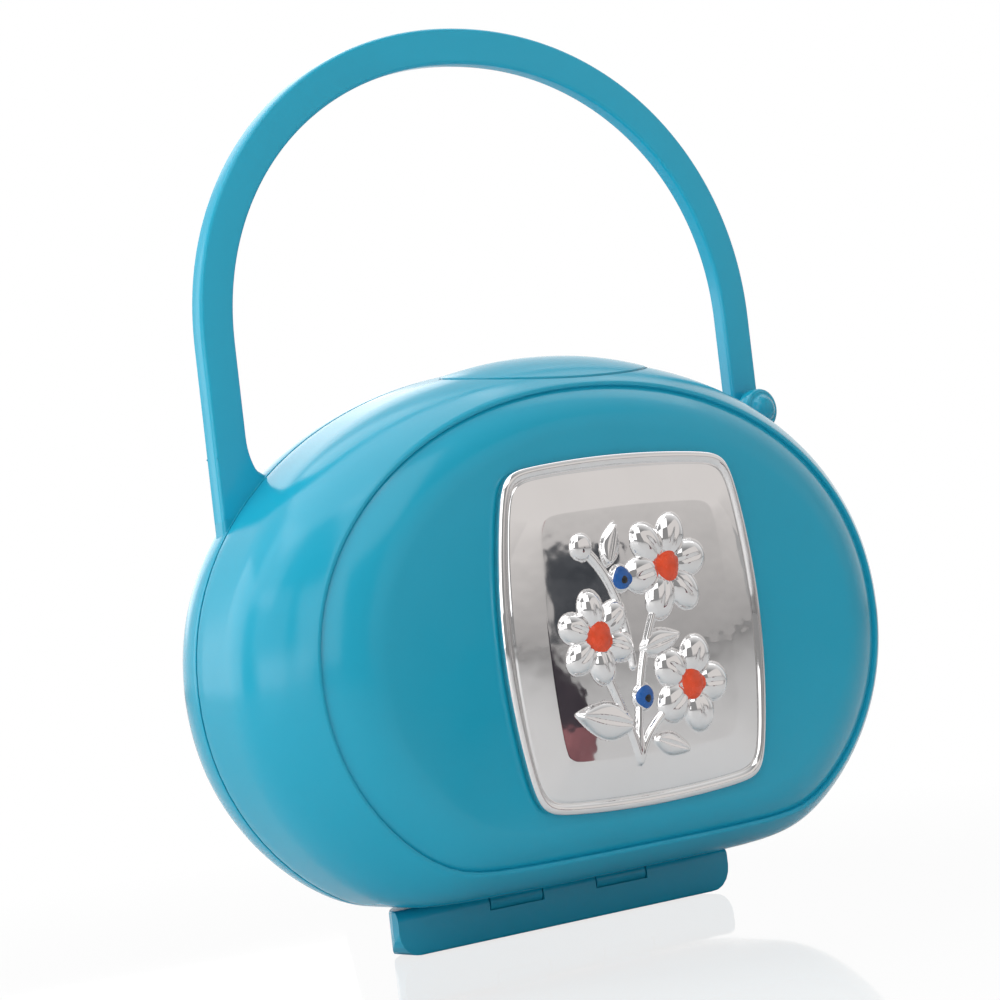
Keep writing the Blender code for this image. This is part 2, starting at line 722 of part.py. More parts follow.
def make_stud(material):
    """The snap's stud, turned: a rear head, a post, a shoulder, a disc and a dome."""
    disc_front = DISC_BACK_Y - DISC_THICKNESS
    head_back = ear_back_y() + GAP + HEAD_THICKNESS
    post_front = STRAP_FRONT_Y - GAP
    profile = [(0.0, head_back), (HEAD_RADIUS, head_back), (HEAD_RADIUS, ear_back_y() + GAP)]
    profile += [(POST_RADIUS, ear_back_y() + GAP), (POST_RADIUS, post_front)]
    profile += [(SHOULDER_RADIUS, post_front), (SHOULDER_RADIUS, DISC_BACK_Y)]
    profile += [(DISC_RADIUS - DISC_EDGE, DISC_BACK_Y), (DISC_RADIUS, DISC_BACK_Y - DISC_EDGE)]
    profile += [(DISC_RADIUS, disc_front + DISC_EDGE), (DISC_RADIUS - DISC_EDGE, disc_front)]
    for step in range(DOME_STEPS):
        angle = math.radians(90.0) * step / DOME_STEPS
        profile.append((DOME_RADIUS * math.cos(angle), disc_front - DOME_RISE * math.sin(angle)))
    profile.append((0.0, disc_front - DOME_RISE))
    bm = bmesh.new()
    points = [bm.verts.new((radius, y, 0.0)) for radius, y in profile]
    for first, second in zip(points, points[1:]):
        bm.edges.new((first, second))
    stud = finish_mesh("handle_stud", bm, parts, material)
    stud.location = (ARCH_HALF_WIDTH, 0.0, leg_z(STUD_RISE))
    turn = stud.modifiers.new("turn", "SCREW")
    turn.axis = "Y"
    turn.steps = ROUND_SIDES
    turn.render_steps = ROUND_SIDES
    turn.use_merge_vertices = True
    turn.merge_threshold = WELD
    turn.use_normal_calculate = True
    return stud


def pad_button():
    """The oval button with its domed top, which follows the shoulder that it lies in."""
    rings = [[(x, y, window_low_z() + PAD_TRAVEL + GAP) for x, y in pad_outline(0.0)]]
    for step in range(PAD_DOME_STEPS):
        share = 1.0 - step / PAD_DOME_STEPS
        rise = PAD_EDGE_RISE + PAD_DOME * (1.0 - share ** 2)
        ring = []
        for x, y in pad_outline(0.0):
            place = (x * share, PAD_Y + (y - PAD_Y) * share)
            ring.append((*place, shoulder_top_z(*place) + rise))
        rings.append(ring)
    level = min(z for _, _, z in rings[-1])
    rings[-1] = [(x, y, level) for x, y, _ in rings[-1]]
    return loft(rings)


def make_latch_pad(material):
    """The oval press pad with its inner flange and the hook that reaches the catch."""
    pad = finish_mesh("latch_pad", pad_button(), parts, material)
    flange_inset = FRONT_WALL + GAP
    depth = flange_inset + PAD_FLANGE_THICKNESS
    flange = tool("pad_flange", cavity_solid(flange_inset))
    wide = pad_outline(PAD_FLANGE)
    top = body_top_z() + OVERRUN
    flange_oval = outline_plate("flange_outline", wide, window_low_z(), top, "Z")
    combine(flange, tool("pad_flange_oval", flange_oval), "INTERSECT")
    combine(pad, flange, "UNION")
    combine(pad, tool("pad_hollow", cavity_solid(depth)), "DIFFERENCE")
    arm_top = barb_top_z() - BARB_RISE
    arm_low = arm_top - HOOK_THICKNESS
    half = HOOK_HALF_WIDTH
    arm = box_solid((-half, PAD_Y, arm_low), (half, HOOK_TIP_Y, arm_top))
    riser_top = body_top_z(depth) + PAD_FLANGE_THICKNESS / 2.0
    riser_front, riser_back = PAD_Y + HOOK_TRIM, PAD_Y + PAD_HALF_DEPTH / 2.0
    narrow = half - HOOK_TRIM
    riser = box_solid((-narrow, riser_front, arm_low + HOOK_TRIM), (narrow, riser_back, riser_top))
    barb_low = arm_top - HOOK_THICKNESS / 2.0
    barb = box_solid((-narrow, HOOK_TIP_Y - BARB_DEPTH, barb_low),
                     (narrow, HOOK_TIP_Y - HOOK_TRIM / 2.0, barb_top_z()))
    combine(pad, tool("hook_arm", arm), "UNION")
    combine(pad, tool("hook_riser", riser), "UNION")
    combine(pad, tool("hook_barb", barb), "UNION")
    return pad


def rounded_square(power, side_points):
    """A unit square with round corners, counter-clockwise, with even steps on its sides."""
    corners = [(1.0, -1.0), (1.0, 1.0), (-1.0, 1.0), (-1.0, -1.0)]
    points = []
    for (ax, az), (bx, bz) in zip(corners, corners[1:] + corners[:1]):
        for step in range(side_points):
            share = step / side_points
            x, z = ax + (bx - ax) * share, az + (bz - az) * share
            reach = (abs(x) ** power + abs(z) ** power) ** (1.0 / power)
            points.append((x / reach, z / reach))
    return points


def plaque_ring(inset, y):
    """The plaque's outline at this distance in from its edge."""
    half_width, half_height = PLAQUE_HALF_WIDTH - inset, PLAQUE_HALF_HEIGHT - inset
    centre_z = BODY_CENTRE_Z + PLAQUE_LIFT
    ring = []
    for u, v in rounded_square(PLAQUE_POWER, PLAQUE_SIDE_POINTS):
        x = half_width * u * (1.0 - PLAQUE_SIDE_BULGE_SHARE * v * v)
        z = half_height * v * (1.0 - PLAQUE_TOP_BULGE_SHARE * u * u)
        ring.append((x, y, centre_z + z))
    return ring


def plaque_field(rim, y_shift):
    """The sloped border and the crowned field inside the bead."""
    inner = PLAQUE_BEAD + PLAQUE_BEVEL
    return [plaque_ring(inner, rim - PLAQUE_CROWN + y_shift),
            plaque_ring(PLAQUE_HALF_WIDTH / 2.0, rim - PLAQUE_CROWN * 1.2 + y_shift)]


def make_plaque(foil_material, backing_material):
    """The silver foil is a shallow tray, and the filler lies inside it."""
    back = face_front_y() - GAP
    rim = back - PLAQUE_RIM_HEIGHT
    outer = [plaque_ring(0.0, back), plaque_ring(0.0, rim)]
    outer.append(plaque_ring(PLAQUE_BEAD / 2.0, rim - PLAQUE_BEAD_RISE))
    outer.append(plaque_ring(PLAQUE_BEAD, rim + PLAQUE_GROOVE))
    outer += plaque_field(rim, 0.0)
    inner = [plaque_ring(FOIL, back), plaque_ring(FOIL, rim + FOIL + PLAQUE_GROOVE)]
    inner += plaque_field(rim, FOIL)
    finish_mesh("plaque_foil", loft(outer[::-1] + inner), parts, foil_material)
    clearance = FOIL + GAP
    filler = [plaque_ring(clearance, back), plaque_ring(clearance, rim + clearance + PLAQUE_GROOVE)]
    filler += plaque_field(rim, clearance)
    finish_mesh("plaque_backing", loft(filler), parts, backing_material)


clear_scene()
parts = new_collection(PARTS_NAME)
cutters = new_collection(CUTTERS_NAME)
shell_plastic = make_material("shell_plastic", TURQUOISE, 0.22)
base_plastic = make_material("base_plastic", TURQUOISE_DEEP, 0.35)
foil = make_material("silver_foil", SILVER, 0.12, 1.0)
pin_steel = make_material("pin_steel", STEEL, 0.35, 1.0)
resin = make_material("resin", RESIN, 0.6)
make_rear_shell(shell_plastic)
make_foot(base_plastic)
make_front_cover(shell_plastic)
make_hinge_pin(pin_steel)
make_strap(shell_plastic)
make_stud(shell_plastic)
make_latch_pad(shell_plastic)
make_plaque(foil, resin)
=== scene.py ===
"""Looks of the pacifier box: glossy shells, strap, pressed silver plaque, studio light, camera."""
import math

import bpy
import bmesh
from mathutils import Matrix, Vector


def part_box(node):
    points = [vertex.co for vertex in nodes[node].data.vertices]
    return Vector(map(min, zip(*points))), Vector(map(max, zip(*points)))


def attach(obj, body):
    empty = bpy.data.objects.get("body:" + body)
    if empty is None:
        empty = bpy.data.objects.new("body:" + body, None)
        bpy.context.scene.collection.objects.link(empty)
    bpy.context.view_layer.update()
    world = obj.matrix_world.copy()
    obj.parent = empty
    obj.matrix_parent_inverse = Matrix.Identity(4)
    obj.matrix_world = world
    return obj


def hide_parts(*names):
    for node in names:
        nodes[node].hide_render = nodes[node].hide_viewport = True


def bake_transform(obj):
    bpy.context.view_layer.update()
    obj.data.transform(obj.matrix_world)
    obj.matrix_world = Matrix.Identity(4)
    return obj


MM = 0.001
WHITE = (1.0, 1.0, 1.0)
QUARTER = math.radians(90.0)
WELD = 0.002 * MM

# Camera, from the photograph: angles in degrees, lengths in metres
CAMERA_AZIMUTH = 37.68
CAMERA_ELEVATION = -1.22
CAMERA_ROLL = -6.64
CAMERA_DISTANCE = 0.4244
CAMERA_TARGET = Vector((-0.00131, 0.0025, 0.06333))
CAMERA_LENS = 102.37
SENSOR_WIDTH = 36.0

# Floor, as the camera sees it
FLOOR_MIRROR = 0.20
FLOOR_HALF = 1.3
MIRROR_NEAR = 0.06
MIRROR_FAR = 0.17

# Soft lights, as name, place, width, height and watts; each faces the object
SOFTBOXES = (("overhead", (-0.10, 0.10, 0.80), 0.90, 0.70, 3.4),
             ("window", (-0.60, 0.55, 0.28), 0.45, 0.60, 1.35),
             ("back", (0.20, 0.80, 0.40), 0.60, 0.60, 1.05),
             ("front_over", (-0.15, -0.50, 0.65), 0.50, 0.50, 1.18),
             ("front_left", (-0.55, -0.60, 0.30), 0.45, 0.45, 0.95),
             ("left", (-0.80, -0.10, 0.25), 0.50, 0.60, 0.90),
             ("left_high", (-0.60, 0.10, 0.60), 0.45, 0.45, 0.88),
             ("right_high", (0.50, 0.10, 0.70), 0.45, 0.45, 0.45),
             ("left_low", (-0.60, -0.20, 0.08), 0.50, 0.12, 0.30))
SOFTBOX_AIM = (0.0, 0.0, 0.05)

# What the gloss mirrors of the room: bright towards this side, dim away from it
GLARE_FROM = (0.25, 0.80, 0.54)
GLARE_LOW = (0.30, 0.30, 0.30)
GLARE_HIGH = (1.08, 1.08, 1.08)

# Boards that show only in the silver plaque and in grazing gloss, corners in millimetres
DARK_CARD = ((202.8, -318.6, 64.0), (226.6, -299.7, 61.0), (223.0, -301.2, 40.0),
             (212.0, -310.0, 33.0), (198.7, -320.5, 29.0))
SHADE_CARD = ((60.0, -161.0, 44.0), (72.0, -152.0, 40.0), (81.0, -145.3, 26.0),
              (82.5, -144.1, 17.0), (60.0, -161.0, 19.0))
ROSE_CARD = ((60.0, -161.0, 19.0), (82.5, -144.1, 17.0), (81.0, -145.3, 8.0),
             (75.0, -149.8, 0.5), (60.0, -161.0, 0.5))
RED_CARD = ((195.6, -325.2, 83.3), (199.4, -322.2, 82.8), (197.9, -322.8, 69.7),
            (195.0, -325.1, 70.1))
CARD_MOTTLE = 60.0
MOTTLED_CARDS = (("dark_card", DARK_CARD, (0.035, 0.040, 0.048), (0.10, 0.105, 0.115)),
                 ("shade_card", SHADE_CARD, (0.030, 0.026, 0.032), (0.06, 0.05, 0.06)),
                 ("rose_card", ROSE_CARD, (0.10, 0.055, 0.065), (0.30, 0.13, 0.14)),
                 ("red_card", RED_CARD, (0.35, 0.05, 0.06), (0.25, 0.05, 0.06)))

# Colours, linear
TURQUOISE = (0.012, 0.382, 0.560)
SILVER = (0.84, 0.83, 0.83)
STEEL = (0.55, 0.56, 0.57)
RESIN = (0.72, 0.68, 0.58)
ENAMEL_ORANGE = (0.82, 0.080, 0.022)
ENAMEL_BLUE = (0.010, 0.110, 0.400)
ENAMEL_BLACK = (0.010, 0.010, 0.012)

# Gloss of the plastic, the roughness between two values
PLASTIC_ROUGH = (0.15, 0.21)
PLASTIC_IOR = 1.49
PLASTIC_SHEEN = 0.42
# The strap's colour is the shell's, scaled lighter: painted light that stands in for light shining through the thin
# translucent strap
STRAP_PAINTED_LIGHT = 1.08
NODE_SHARP_ANGLE = 30.0

# Pale room round the object
SKY = (0.03, 0.03, 0.03)
GROUND = (0.80, 0.80, 0.80)

# Body, as in the solids
BODY_HALF_WIDTH = 58.6 * MM
BODY_HALF_HEIGHT = 41.8 * MM
BODY_CENTRE_Z = 40.9 * MM
BODY_FLOOR_Z = 6.7 * MM
FLOOR_CORNER = 3.0 * MM
BODY_POWER = 2.09
FRONT_DEPTH = 19.7 * MM
SHOULDER_LENGTH = 12.5 * MM
SHOULDER_POWER = 2.3
RIM_HALF_WIDTH = 51.9 * MM
RIM_HALF_HEIGHT = 37.4 * MM
RIM_FLOOR_Z = 10.8 * MM
LIP_WIDTH = 0.5 * MM
LIP_STEP = 0.4 * MM
LIP_ROUND = 0.13 * MM
CROWN_HEIGHT = 3.4 * MM
CROWN_RUN = 0.17
REAR_DEPTH = 26.2 * MM
REAR_BACK = 0.985
PARTING = 0.15 * MM

# The finish coat that lies on the moulded shells
SKIN = 0.02 * MM
SKIN_THICKNESS = 0.25 * MM
PARTING_ROUND = 0.20 * MM
OUTLINE_STEPS = 320
SHOULDER_STEPS = 30
CROWN_STEPS = 16
FACE_SHARES = (0.8, 0.6, 0.4, 0.2, 0.05)
DOME_STEPS = 40

# Smooth inner walls, from just behind the closing collar, a little proud of the moulded wall
FRONT_WALL = 1.4 * MM
REAR_WALL = 2.8 * MM
LINING_START = 2.6 * MM
FRONT_LINING = 0.12 * MM
REAR_LINING = 0.20 * MM
LINING_STEPS = 36
LATCH_ROOM = 0.8 * MM

# Latch pad
PAD_HALF_WIDTH = 18.0 * MM
PAD_HALF_DEPTH = 8.4 * MM
PAD_Y = -10.0 * MM
PAD_EDGE_RISE = 0.2 * MM
PAD_DOME = 0.5 * MM
PAD_ROUND = 0.18 * MM
PAD_SKIRT = 0.8 * MM
PAD_GAP = 0.27 * MM
PAD_STEPS = 160
PAD_RINGS = 14

# Strap and its root
STRAP_FRONT = 0.28 * MM
STRAP_BACK = 3.02 * MM
STRAP_HALF = 2.72 * MM
STRAP_EDGE = 0.55 * MM
ARCH_HALF_WIDTH = 48.6 * MM
ARCH_BASE_Z = 88.465 * MM
ARCH_HEIGHT = 42.9 * MM
ARCH_POWER = 2.07
ARCH_STEPS = 120
LEG_STEPS = 24
ROOT_Z = 64.0 * MM
FILLET_LOW = Vector((-41.6, 68.6)) * MM
FILLET_TOP_Z = 75.5 * MM
FILLET_STEPS = 14
STUD_Z = 73.365 * MM
EYE_RADIUS = 3.2 * MM
EYE_STEPS = 28

# Press stud, as (radius, distance in front of the parting plane)
STUD_PROFILE = ((1.5, -2.0), (2.4, 0.0), (2.4, 0.8), (3.05, 0.85), (3.3, 1.2), (3.3, 2.75),
                (3.22, 3.02), (3.02, 3.2), (2.75, 3.28), (2.5, 3.33), (2.33, 3.42), (2.2, 3.6),
                (1.98, 3.93), (1.6, 4.27), (1.15, 4.5), (0.6, 4.62), (0.0, 4.65))
STUD_SIDES = 96

# Plaque
PLAQUE_POWER = 16.0
PLAQUE_SIDE_BULGE = 0.13
PLAQUE_TOP_BULGE = 0.05
PLAQUE_RIM = 1.0 * MM
BEAD_WIDTH = 1.35 * MM
BEAD_RISE = 0.32 * MM
GROOVE_WIDTH = 0.45 * MM
GROOVE_DEPTH = 0.20 * MM
HIP_WIDTH = 5.2 * MM
HIP_RISE = 0.90 * MM
HIP_POWER = 1.2
CROWN_RISE = 0.30 * MM
FOIL_THICKNESS = 0.25 * MM
GRID_STEPS = 190

# Pressed spray of flowers on the plaque, millimetres from its centre:
# a flower is its centre, reach, petals and first angle; a leaf is its root, tip, half width and rise
FLOWERS = (((5.4, 8.4), 7.9, 6, 10.0), ((-8.6, -0.4), 6.8, 6, 38.0), ((7.6, -8.8), 7.2, 5, 70.0))
PETAL_RISE = 1.5
PETAL_POWER = 0.62
BUTTON_RADIUS = 2.35
BUTTON_RISE = 1.35
STEMS = (((-3.0, -18.5), (-2.6, -6.0), (1.0, 0.5), (5.6, 7.6)),
         ((-3.0, -18.5), (-5.0, -9.5), (-8.6, -6.0), (-8.2, 0.2)),
         ((-3.0, -18.5), (-1.0, -13.0), (3.0, -12.5), (7.2, -8.4)),
         ((-2.6, -5.0), (-3.0, 4.0), (-5.5, 9.0), (-9.5, 12.4)))
STEM_RADIUS = 0.62
STEM_RISE = 0.62
STEM_STEPS = 44
LEAVES = (((-3.4, -13.4), (-14.0, -10.6), 2.6, 1.1), ((-1.2, -3.0), (6.8, -1.4), 1.9, 1.0),
          ((-5.4, 9.2), (-3.0, 15.6), 1.7, 0.9), ((-0.4, -15.6), (6.6, -18.2), 1.6, 0.8))
BUDS = ((-9.5, 12.4),)
BERRIES = ((-3.2, 7.4), (-1.4, -9.6))
BERRY_RADIUS = 1.9
BERRY_RISE = 1.0
ENAMEL_RISE = 0.10
ENAMEL_STEPS = 36
ENAMEL_RINGS = 6


def node_tree(name):
    material = bpy.data.materials.new(name)
    material.use_nodes = True
    tree = material.node_tree
    return material, tree, tree.nodes["Principled BSDF"]


def texture_space(tree):
    return tree.nodes.new("ShaderNodeTexCoord").outputs["Object"]


def noise(tree, scale, detail, source):
    node = tree.nodes.new("ShaderNodeTexNoise")
    node.inputs["Scale"].default_value = scale
    node.inputs["Detail"].default_value = detail
    tree.links.new(source, node.inputs["Vector"])
    return node.outputs["Fac"]


def remap(tree, source, low, high, start=0.35, end=0.65):
    node = tree.nodes.new("ShaderNodeMapRange")
    node.inputs["From Min"].default_value = start
    node.inputs["From Max"].default_value = end
    node.inputs["To Min"].default_value = low
    node.inputs["To Max"].default_value = high
    tree.links.new(source, node.inputs["Value"])
    return node.outputs["Result"]


def blend_colours(tree, factor, first, second):
    node = tree.nodes.new("ShaderNodeMix")
    node.data_type = "RGBA"
    node.inputs["A"].default_value = (*first, 1.0)
    node.inputs["B"].default_value = (*second, 1.0)
    tree.links.new(factor, node.inputs["Factor"])
    return node.outputs["Result"]


def mix_shaders(tree, factor, first, second):
    node = tree.nodes.new("ShaderNodeMixShader")
    tree.links.new(factor, node.inputs["Fac"])
    tree.links.new(first, node.inputs[1])
    tree.links.new(second, node.inputs[2])
    return node.outputs["Shader"]


def bump(tree, height, strength, distance):
    node = tree.nodes.new("ShaderNodeBump")
    node.inputs["Strength"].default_value = strength
    node.inputs["Distance"].default_value = distance
    tree.links.new(height, node.inputs["Height"])
    return node.outputs["Normal"]


def shade(colour, factor):
    return tuple(channel * factor for channel in colour)


def moulded_plastic(name, colour):
    """Injection-moulded polypropylene: faint flow clouds, orange peel and handling haze."""
    material, tree, shader = node_tree(name)
    space = texture_space(tree)
    clouds = noise(tree, 22.0, 3.0, space)
    tint = blend_colours(tree, remap(tree, clouds, 0.0, 1.0), shade(colour, 0.965), shade(colour, 1.03))
    tree.links.new(tint, shader.inputs["Base Color"])
    haze = noise(tree, 140.0, 4.0, space)
    tree.links.new(remap(tree, haze, *PLASTIC_ROUGH), shader.inputs["Roughness"])
    peel = noise(tree, 900.0, 2.0, space)
    tree.links.new(bump(tree, peel, 0.05, 0.00010), shader.inputs["Normal"])
    shader.inputs["IOR"].default_value = PLASTIC_IOR
    shader.inputs["Specular IOR Level"].default_value = PLASTIC_SHEEN
    return material


def silver_foil():
    material, tree, shader = node_tree("silver_foil")
    space = texture_space(tree)
    shader.inputs["Metallic"].default_value = 1.0
    smudge = noise(tree, 90.0, 4.0, space)
    tone = blend_colours(tree, remap(tree, smudge, 0.0, 1.0), shade(SILVER, 0.97), SILVER)
    tree.links.new(tone, shader.inputs["Base Color"])
    tree.links.new(remap(tree, smudge, 0.02, 0.05), shader.inputs["Roughness"])
    waves = noise(tree, 170.0, 2.0, space)
    tree.links.new(bump(tree, waves, 0.10, 0.0004), shader.inputs["Normal"])
    return material


def enamel(name, colour):
    material, tree, shader = node_tree(name)
    mottle = noise(tree, 600.0, 3.0, texture_space(tree))
    tone = blend_colours(tree, remap(tree, mottle, 0.0, 1.0), shade(colour, 0.9), shade(colour, 1.08))
    tree.links.new(tone, shader.inputs["Base Color"])
    tree.links.new(remap(tree, mottle, 0.18, 0.30), shader.inputs["Roughness"])
    return material


def drawn_steel():
    material, tree, shader = node_tree("drawn_steel")
    shader.inputs["Metallic"].default_value = 1.0
    streak = noise(tree, 400.0, 3.0, texture_space(tree))
    tone = blend_colours(tree, remap(tree, streak, 0.0, 1.0), shade(STEEL, 0.9), shade(STEEL, 1.05))
    tree.links.new(tone, shader.inputs["Base Color"])
    tree.links.new(remap(tree, streak, 0.28, 0.42), shader.inputs["Roughness"])
    return material


def cast_resin():
    material, tree, shader = node_tree("cast_resin")
    grain = noise(tree, 300.0, 4.0, texture_space(tree))
    tone = blend_colours(tree, remap(tree, grain, 0.0, 1.0), shade(RESIN, 0.93), shade(RESIN, 1.04))
    tree.links.new(tone, shader.inputs["Base Color"])
    tree.links.new(remap(tree, grain, 0.50, 0.65), shader.inputs["Roughness"])
    return material


def dress(obj, material):
    obj.data.materials.clear()
    obj.data.materials.append(material)


def smooth_step(value):
    value = min(max(value, 0.0), 1.0)
    return value * value * (3.0 - 2.0 * value)


def norm(u, v, power):
    return (abs(u) ** power + abs(v) ** power) ** (1.0 / power)


def signed_power(value, power):
    return math.copysign(abs(value) ** power, value)


def add_piece(name, bm, material, body, angle=35.0):
    """A smooth-shaded object from this bmesh, riding on a body."""
    bmesh.ops.recalc_face_normals(bm, faces=bm.faces)
    mesh = bpy.data.meshes.new(name)
    bm.to_mesh(mesh)
    bm.free()
    mesh.shade_smooth()
    mesh.set_sharp_from_angle(angle=math.radians(angle))
    piece = bpy.data.objects.new(name, mesh)
    bpy.context.scene.collection.objects.link(piece)
    dress(piece, material)
    if body:
        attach(piece, body)
    return piece


def loft(rings):
    """A closed solid through rings of equal length, with both end rings filled."""
    bm = bmesh.new()
    loops = [[bm.verts.new(point) for point in ring] for ring in rings]
    count = len(loops[0])
    for first, second in zip(loops, loops[1:]):
        for i in range(count):
            j = (i + 1) % count
            bm.faces.new((first[i], first[j], second[j], second[i]))
    bm.faces.new(loops[0])
    bm.faces.new(loops[-1])
    return bm


def oval(y, half_width, half_height, floor_z):
    """The body's oval section, level at its floor."""
    ring = []
    for step in range(OUTLINE_STEPS):
        angle = math.tau * step / OUTLINE_STEPS
        x = half_width * signed_power(math.cos(angle), 2.0 / BODY_POWER)
        above = BODY_CENTRE_Z + half_height * signed_power(math.sin(angle), 2.0 / BODY_POWER) - floor_z
        ring.append((x, y, floor_z + (above + math.hypot(above, FLOOR_CORNER)) / 2.0))
    return ring


def body_oval(y, inset):
    return oval(y, BODY_HALF_WIDTH - inset, BODY_HALF_HEIGHT - inset, BODY_FLOOR_Z + inset)


def rim_oval(y, inset):
    return oval(y, RIM_HALF_WIDTH - inset, RIM_HALF_HEIGHT - inset, RIM_FLOOR_Z + inset)


def shoulder_oval(share, inset):
    """A section between the straight flank, at 0, and the rim, at 1."""
    turn = share ** SHOULDER_POWER
    flank = FRONT_DEPTH - SHOULDER_LENGTH
    half_width = BODY_HALF_WIDTH - (BODY_HALF_WIDTH - RIM_HALF_WIDTH) * turn
    half_height = BODY_HALF_HEIGHT - (BODY_HALF_HEIGHT - RIM_HALF_HEIGHT) * turn
    floor_z = BODY_FLOOR_Z + (RIM_FLOOR_Z - BODY_FLOOR_Z) * turn
    y = -flank - (SHOULDER_LENGTH - max(inset, 0.0)) * share
    return oval(y, half_width - inset, half_height - inset, floor_z + inset)


def crown_oval(share, start_y, inset):
    """A section of the pillowed face, from the crease at 0 to its flat middle at 1."""
    scale = 1.0 - CROWN_RUN * share
    rise = CROWN_HEIGHT * (1.0 - (1.0 - share) ** 2)
    width, height = (RIM_HALF_WIDTH - inset) * scale, (RIM_HALF_HEIGHT - inset) * scale
    level = BODY_CENTRE_Z - (BODY_CENTRE_Z - RIM_FLOOR_Z - inset) * scale
    return oval(start_y - rise, width, height, level)


def face_rings(start_y, inset):
    rings = [crown_oval(step / CROWN_STEPS, start_y, inset) for step in range(CROWN_STEPS + 1)]
    front = rings[-1]
    for scale in FACE_SHARES:
        rings.append([(x * scale, y, BODY_CENTRE_Z + (z - BODY_CENTRE_Z) * scale) for x, y, z in front])
    return rings


def front_rings(inset):
    """Outer rings of the front half, from its rounded parting edge to the middle of its face."""
    rings = []
    for step in range(5):
        angle = QUARTER * step / 4
        y = -PARTING - PARTING_ROUND * (1.0 - math.cos(angle))
        rings.append(body_oval(y, inset + PARTING_ROUND * (1.0 - math.sin(angle))))
    flank = FRONT_DEPTH - SHOULDER_LENGTH
    for share in (0.25, 0.5, 0.75):
        rings.append(body_oval(-flank * share, inset))
    rings += [shoulder_oval(step / SHOULDER_STEPS, inset) for step in range(SHOULDER_STEPS + 1)]
    rim_y = -FRONT_DEPTH - max(-inset, 0.0)
    rings.append(rim_oval(rim_y - LIP_ROUND * 0.4, inset + LIP_ROUND))
    rings.append(rim_oval(rim_y - LIP_ROUND * 0.4, inset + LIP_WIDTH - LIP_ROUND))
    rings.append(rim_oval(rim_y, inset + LIP_WIDTH))
    rings.append(rim_oval(rim_y + LIP_STEP - LIP_ROUND, inset + LIP_WIDTH + LIP_ROUND))
    crease = inset + LIP_WIDTH + LIP_STEP / 2.0
    return rings + face_rings(rim_y + LIP_STEP, crease)


def inner_rings(inset):
    """Back rings of the finish coat of the front half, inside its solid wall."""
    rings = [body_oval(-PARTING - PARTING_ROUND, inset)]
    rings += [shoulder_oval(step / 8, inset) for step in range(9)]
    return rings + face_rings(-FRONT_DEPTH + LIP_STEP + inset, inset + LIP_WIDTH + LIP_STEP)


def pad_point(angle, share, grow=0.0):
    x = (PAD_HALF_WIDTH + grow) * share * math.cos(angle)
    return x, PAD_Y + (PAD_HALF_DEPTH + grow) * share * math.sin(angle)


def shoulder_top(x, y):
    """Height of the front half's top over a place in plan."""
    flank = FRONT_DEPTH - SHOULDER_LENGTH
    turn = max((-y - flank) / SHOULDER_LENGTH, 0.0) ** SHOULDER_POWER
    half_width = BODY_HALF_WIDTH - (BODY_HALF_WIDTH - RIM_HALF_WIDTH) * turn
    half_height = BODY_HALF_HEIGHT - (BODY_HALF_HEIGHT - RIM_HALF_HEIGHT) * turn
    return BODY_CENTRE_Z + half_height * (1.0 - (abs(x) / half_width) ** BODY_POWER) ** (1.0 / BODY_POWER)


def cut(target, bm, name):
    """Take this closed shape out of a piece and keep the result as its mesh."""
    bmesh.ops.recalc_face_normals(bm, faces=bm.faces)
    mesh = bpy.data.meshes.new(name)
    bm.to_mesh(mesh)
    bm.free()
    tool = bpy.data.objects.new(name, mesh)
    bpy.context.scene.collection.objects.link(tool)
    modifier = target.modifiers.new("cut", "BOOLEAN")
    modifier.operation = "DIFFERENCE"
    modifier.solver = "EXACT"
    modifier.object = tool
    evaluated = target.evaluated_get(bpy.context.evaluated_depsgraph_get())
    result = bpy.data.meshes.new_from_object(evaluated)
    target.modifiers.remove(modifier)
    target.data = result
    bpy.data.objects.remove(tool)


def pad_window(room):
    """An upright oval shape through the cover's top, round the pad."""
    rings = []
    for z in (BODY_CENTRE_Z + RIM_HALF_HEIGHT * 0.6, BODY_CENTRE_Z + BODY_HALF_HEIGHT * 1.1):
        places = [pad_point(math.tau * step / PAD_STEPS, 1.0, room) for step in range(PAD_STEPS)]
        rings.append([(x, y, z) for x, y in places])
    return loft(rings)


def build_front(material):
    coat = add_piece("front_coat", loft(inner_rings(SKIN_THICKNESS)[::-1] + front_rings(-SKIN)), material,
                     "cover")
    cut(coat, pad_window(PAD_GAP), "pad_window")


def build_rear(material):
    """The dome's finish coat, from its rounded parting edge to its back."""
    rings = []
    for step in range(5):
        angle = QUARTER * step / 4
        y = PARTING + PARTING_ROUND * (1.0 - math.cos(angle))
        rings.append(body_oval(y, PARTING_ROUND * (1.0 - math.sin(angle)) - SKIN))
    for step in range(1, DOME_STEPS + 1):
        angle = QUARTER * REAR_BACK * step / DOME_STEPS
        scale = math.cos(angle)
        y = PARTING + (REAR_DEPTH + SKIN) * math.sin(angle)
        if y > rings[-1][0][1]:
            rings.append(oval(y, (BODY_HALF_WIDTH + SKIN) * scale, (BODY_HALF_HEIGHT + SKIN) * scale,
                              BODY_FLOOR_Z - SKIN))
    back = []
    for step in range(DOME_STEPS // 2, -1, -1):
        angle = QUARTER * REAR_BACK * step / (DOME_STEPS // 2)
        scale = math.cos(angle)
        y = PARTING + PARTING_ROUND + (REAR_DEPTH - SKIN_THICKNESS) * math.sin(angle) * 0.98
        back.append(oval(y, (BODY_HALF_WIDTH - SKIN_THICKNESS) * scale,
                         (BODY_HALF_HEIGHT - SKIN_THICKNESS) * scale, BODY_FLOOR_Z + SKIN_THICKNESS))
    add_piece("rear_coat", loft(back + rings), material, "shell")


def front_lining_rings(inset):
    rings = [body_oval(-LINING_START, inset)]
    rings += [shoulder_oval(step / LINING_STEPS, inset) for step in range(LINING_STEPS + 1)]
    return rings + face_rings(-FRONT_DEPTH + inset, inset)


